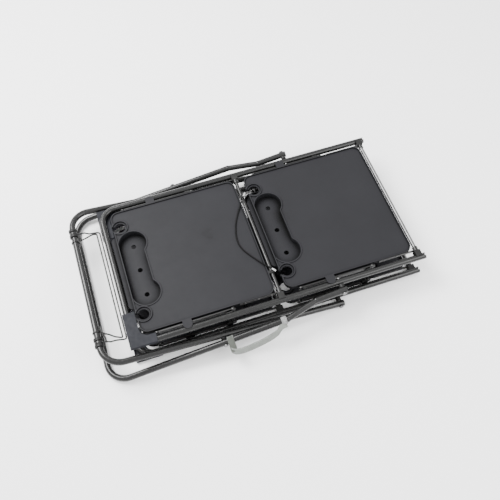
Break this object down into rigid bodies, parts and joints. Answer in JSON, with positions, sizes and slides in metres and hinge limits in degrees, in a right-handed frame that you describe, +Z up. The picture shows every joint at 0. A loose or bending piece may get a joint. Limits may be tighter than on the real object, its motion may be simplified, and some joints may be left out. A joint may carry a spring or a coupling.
{
  "type": "folding camp serving stand",
  "caption": "Folded camp serving stand: two tube frames with hinged trays, cup recesses, stem slots, crossed legs, wire rail, retaining cord and a carry strap.",
  "frame": {"origin": "middle of the folded stand's outline, on the floor it lies on", "axes": "+X towards the open tube ends, which are the top of the standing stand, +Z up off the floor"},
  "size_m": [0.9514, 0.6017, 0.115],
  "materials": {
    "black_tube": "satin",
    "black_steel": "satin",
    "black_wire": "satin",
    "slate_plate": "satin",
    "tray_plastic": "matte",
    "black_plastic": "matte",
    "steel": "satin",
    "ferrule_metal": "satin",
    "strap_web": "matte",
    "cord_sheath": "matte"
  },
  "bodies": {
    "lower_frame": {"lower_frame_tube": "black_tube", "lower_corner_covers": "slate_plate", "lower_hinge_blocks": "black_plastic", "lower_top_hinge_bar": "steel", "lower_mid_hinge_bar": "black_steel", "lower_pivot_pins": "steel", "lower_pivot_spacers": "black_plastic", "lower_stay_catches": "black_steel", "lower_socket_liners": "black_plastic"},
    "upper_frame": {"upper_frame_tube": "black_tube", "upper_corner_covers": "slate_plate", "upper_hinge_blocks": "black_plastic", "upper_top_hinge_bar": "steel", "upper_mid_hinge_bar": "black_steel", "upper_pivot_pins": "steel", "upper_pivot_spacers": "black_plastic", "upper_stay_catches": "black_steel", "upper_socket_liners": "black_plastic"},
    "inner_legs": {"inner_leg_tube": "black_tube", "crossing_pins": "steel", "crossing_washers": "black_plastic", "rail_collars": "black_plastic"},
    "outer_legs": {"outer_leg_tube": "black_tube", "outer_leg_ends": "black_tube", "carry_strap": "strap_web", "strap_end_loops": "strap_web"},
    "spreader_rail": {"spreader_rail": "black_wire"},
    "upper_top_tray": {"upper_top_tray": "tray_plastic", "upper_top_tray_straps": "black_steel", "upper_top_tray_rivets": "steel"},
    "upper_top_tray_stays": {"upper_top_tray_stays": "black_steel"},
    "upper_mid_tray": {"upper_mid_tray": "tray_plastic", "upper_mid_tray_straps": "black_steel", "upper_mid_tray_rivets": "steel", "cord_anchors": "black_plastic", "cord_ferrules": "ferrule_metal", "retaining_cord": "cord_sheath"},
    "upper_mid_tray_stays": {"upper_mid_tray_stays": "black_steel"},
    "lower_top_tray": {"lower_top_tray": "tray_plastic", "lower_top_tray_straps": "black_steel", "lower_top_tray_rivets": "steel"},
    "lower_top_tray_stays": {"lower_top_tray_stays": "black_steel"},
    "lower_mid_tray": {"lower_mid_tray": "tray_plastic", "lower_mid_tray_straps": "black_steel", "lower_mid_tray_rivets": "steel"},
    "lower_mid_tray_stays": {"lower_mid_tray_stays": "black_steel"}
  },
  "joints": [
    {"name": "fold", "type": "hinge", "parent": "lower_frame", "child": "inner_legs", "pos_m": [0.21375, 0.0175, 0.012], "axis": [0, 1, 0], "range_deg": [0, 15]},
    {"name": "leg_crossing", "type": "hinge", "parent": "inner_legs", "child": "outer_legs", "pos_m": [-0.13929, 0.0175, 0.05111], "axis": [0, 1, 0], "range_deg": [-30, 0]},
    {"name": "upper_pivot", "type": "hinge", "parent": "outer_legs", "child": "upper_frame", "pos_m": [0.21375, 0.0175, 0.097], "axis": [0, 1, 0], "range_deg": [0, 15]},
    {"name": "upper_top_tray_hinge", "type": "hinge", "parent": "upper_frame", "child": "upper_top_tray", "pos_m": [0.45675, 0.0175, 0.101], "axis": [0, 1, 0], "range_deg": [0, 90]},
    {"name": "upper_top_tray_stay_pivot", "type": "hinge", "parent": "upper_top_tray", "child": "upper_top_tray_stays", "pos_m": [0.31975, 0.0175, 0.097], "axis": [0, 1, 0], "range_deg": [-137, 0]},
    {"name": "upper_mid_tray_hinge", "type": "hinge", "parent": "upper_frame", "child": "upper_mid_tray", "pos_m": [0.04375, 0.0175, 0.101], "axis": [0, 1, 0], "range_deg": [0, 90]},
    {"name": "upper_mid_tray_stay_pivot", "type": "hinge", "parent": "upper_mid_tray", "child": "upper_mid_tray_stays", "pos_m": [-0.09325, 0.0175, 0.097], "axis": [0, 1, 0], "range_deg": [-137, 0]},
    {"name": "lower_top_tray_hinge", "type": "hinge", "parent": "lower_frame", "child": "lower_top_tray", "pos_m": [0.45675, 0.0175, 0.008], "axis": [0, -1, 0], "range_deg": [0, 90]},
    {"name": "lower_top_tray_stay_pivot", "type": "hinge", "parent": "lower_top_tray", "child": "lower_top_tray_stays", "pos_m": [0.31975, 0.0175, 0.012], "axis": [0, -1, 0], "range_deg": [-137, 0]},
    {"name": "lower_mid_tray_hinge", "type": "hinge", "parent": "lower_frame", "child": "lower_mid_tray", "pos_m": [0.04375, 0.0175, 0.008], "axis": [0, -1, 0], "range_deg": [0, 90]},
    {"name": "lower_mid_tray_stay_pivot", "type": "hinge", "parent": "lower_mid_tray", "child": "lower_mid_tray_stays", "pos_m": [-0.09325, 0.0175, 0.012], "axis": [0, -1, 0], "range_deg": [-137, 0]},
    {"name": "rail_swing", "type": "hinge", "parent": "inner_legs", "child": "spreader_rail", "pos_m": [-0.46325, 0.0175, 0.087], "axis": [0, 1, 0], "range_deg": [0, 40]}
  ],
  "couplings": [
    {"joint": "leg_crossing", "follows": "fold", "ratio": -2},
    {"joint": "upper_pivot", "follows": "fold", "ratio": 1},
    {"joint": "upper_top_tray_stay_pivot", "follows": "upper_top_tray_hinge", "ratio": -1.5211},
    {"joint": "upper_mid_tray_stay_pivot", "follows": "upper_mid_tray_hinge", "ratio": -1.5211},
    {"joint": "lower_top_tray_stay_pivot", "follows": "lower_top_tray_hinge", "ratio": -1.5211},
    {"joint": "lower_mid_tray_stay_pivot", "follows": "lower_mid_tray_hinge", "ratio": -1.5211}
  ]
}
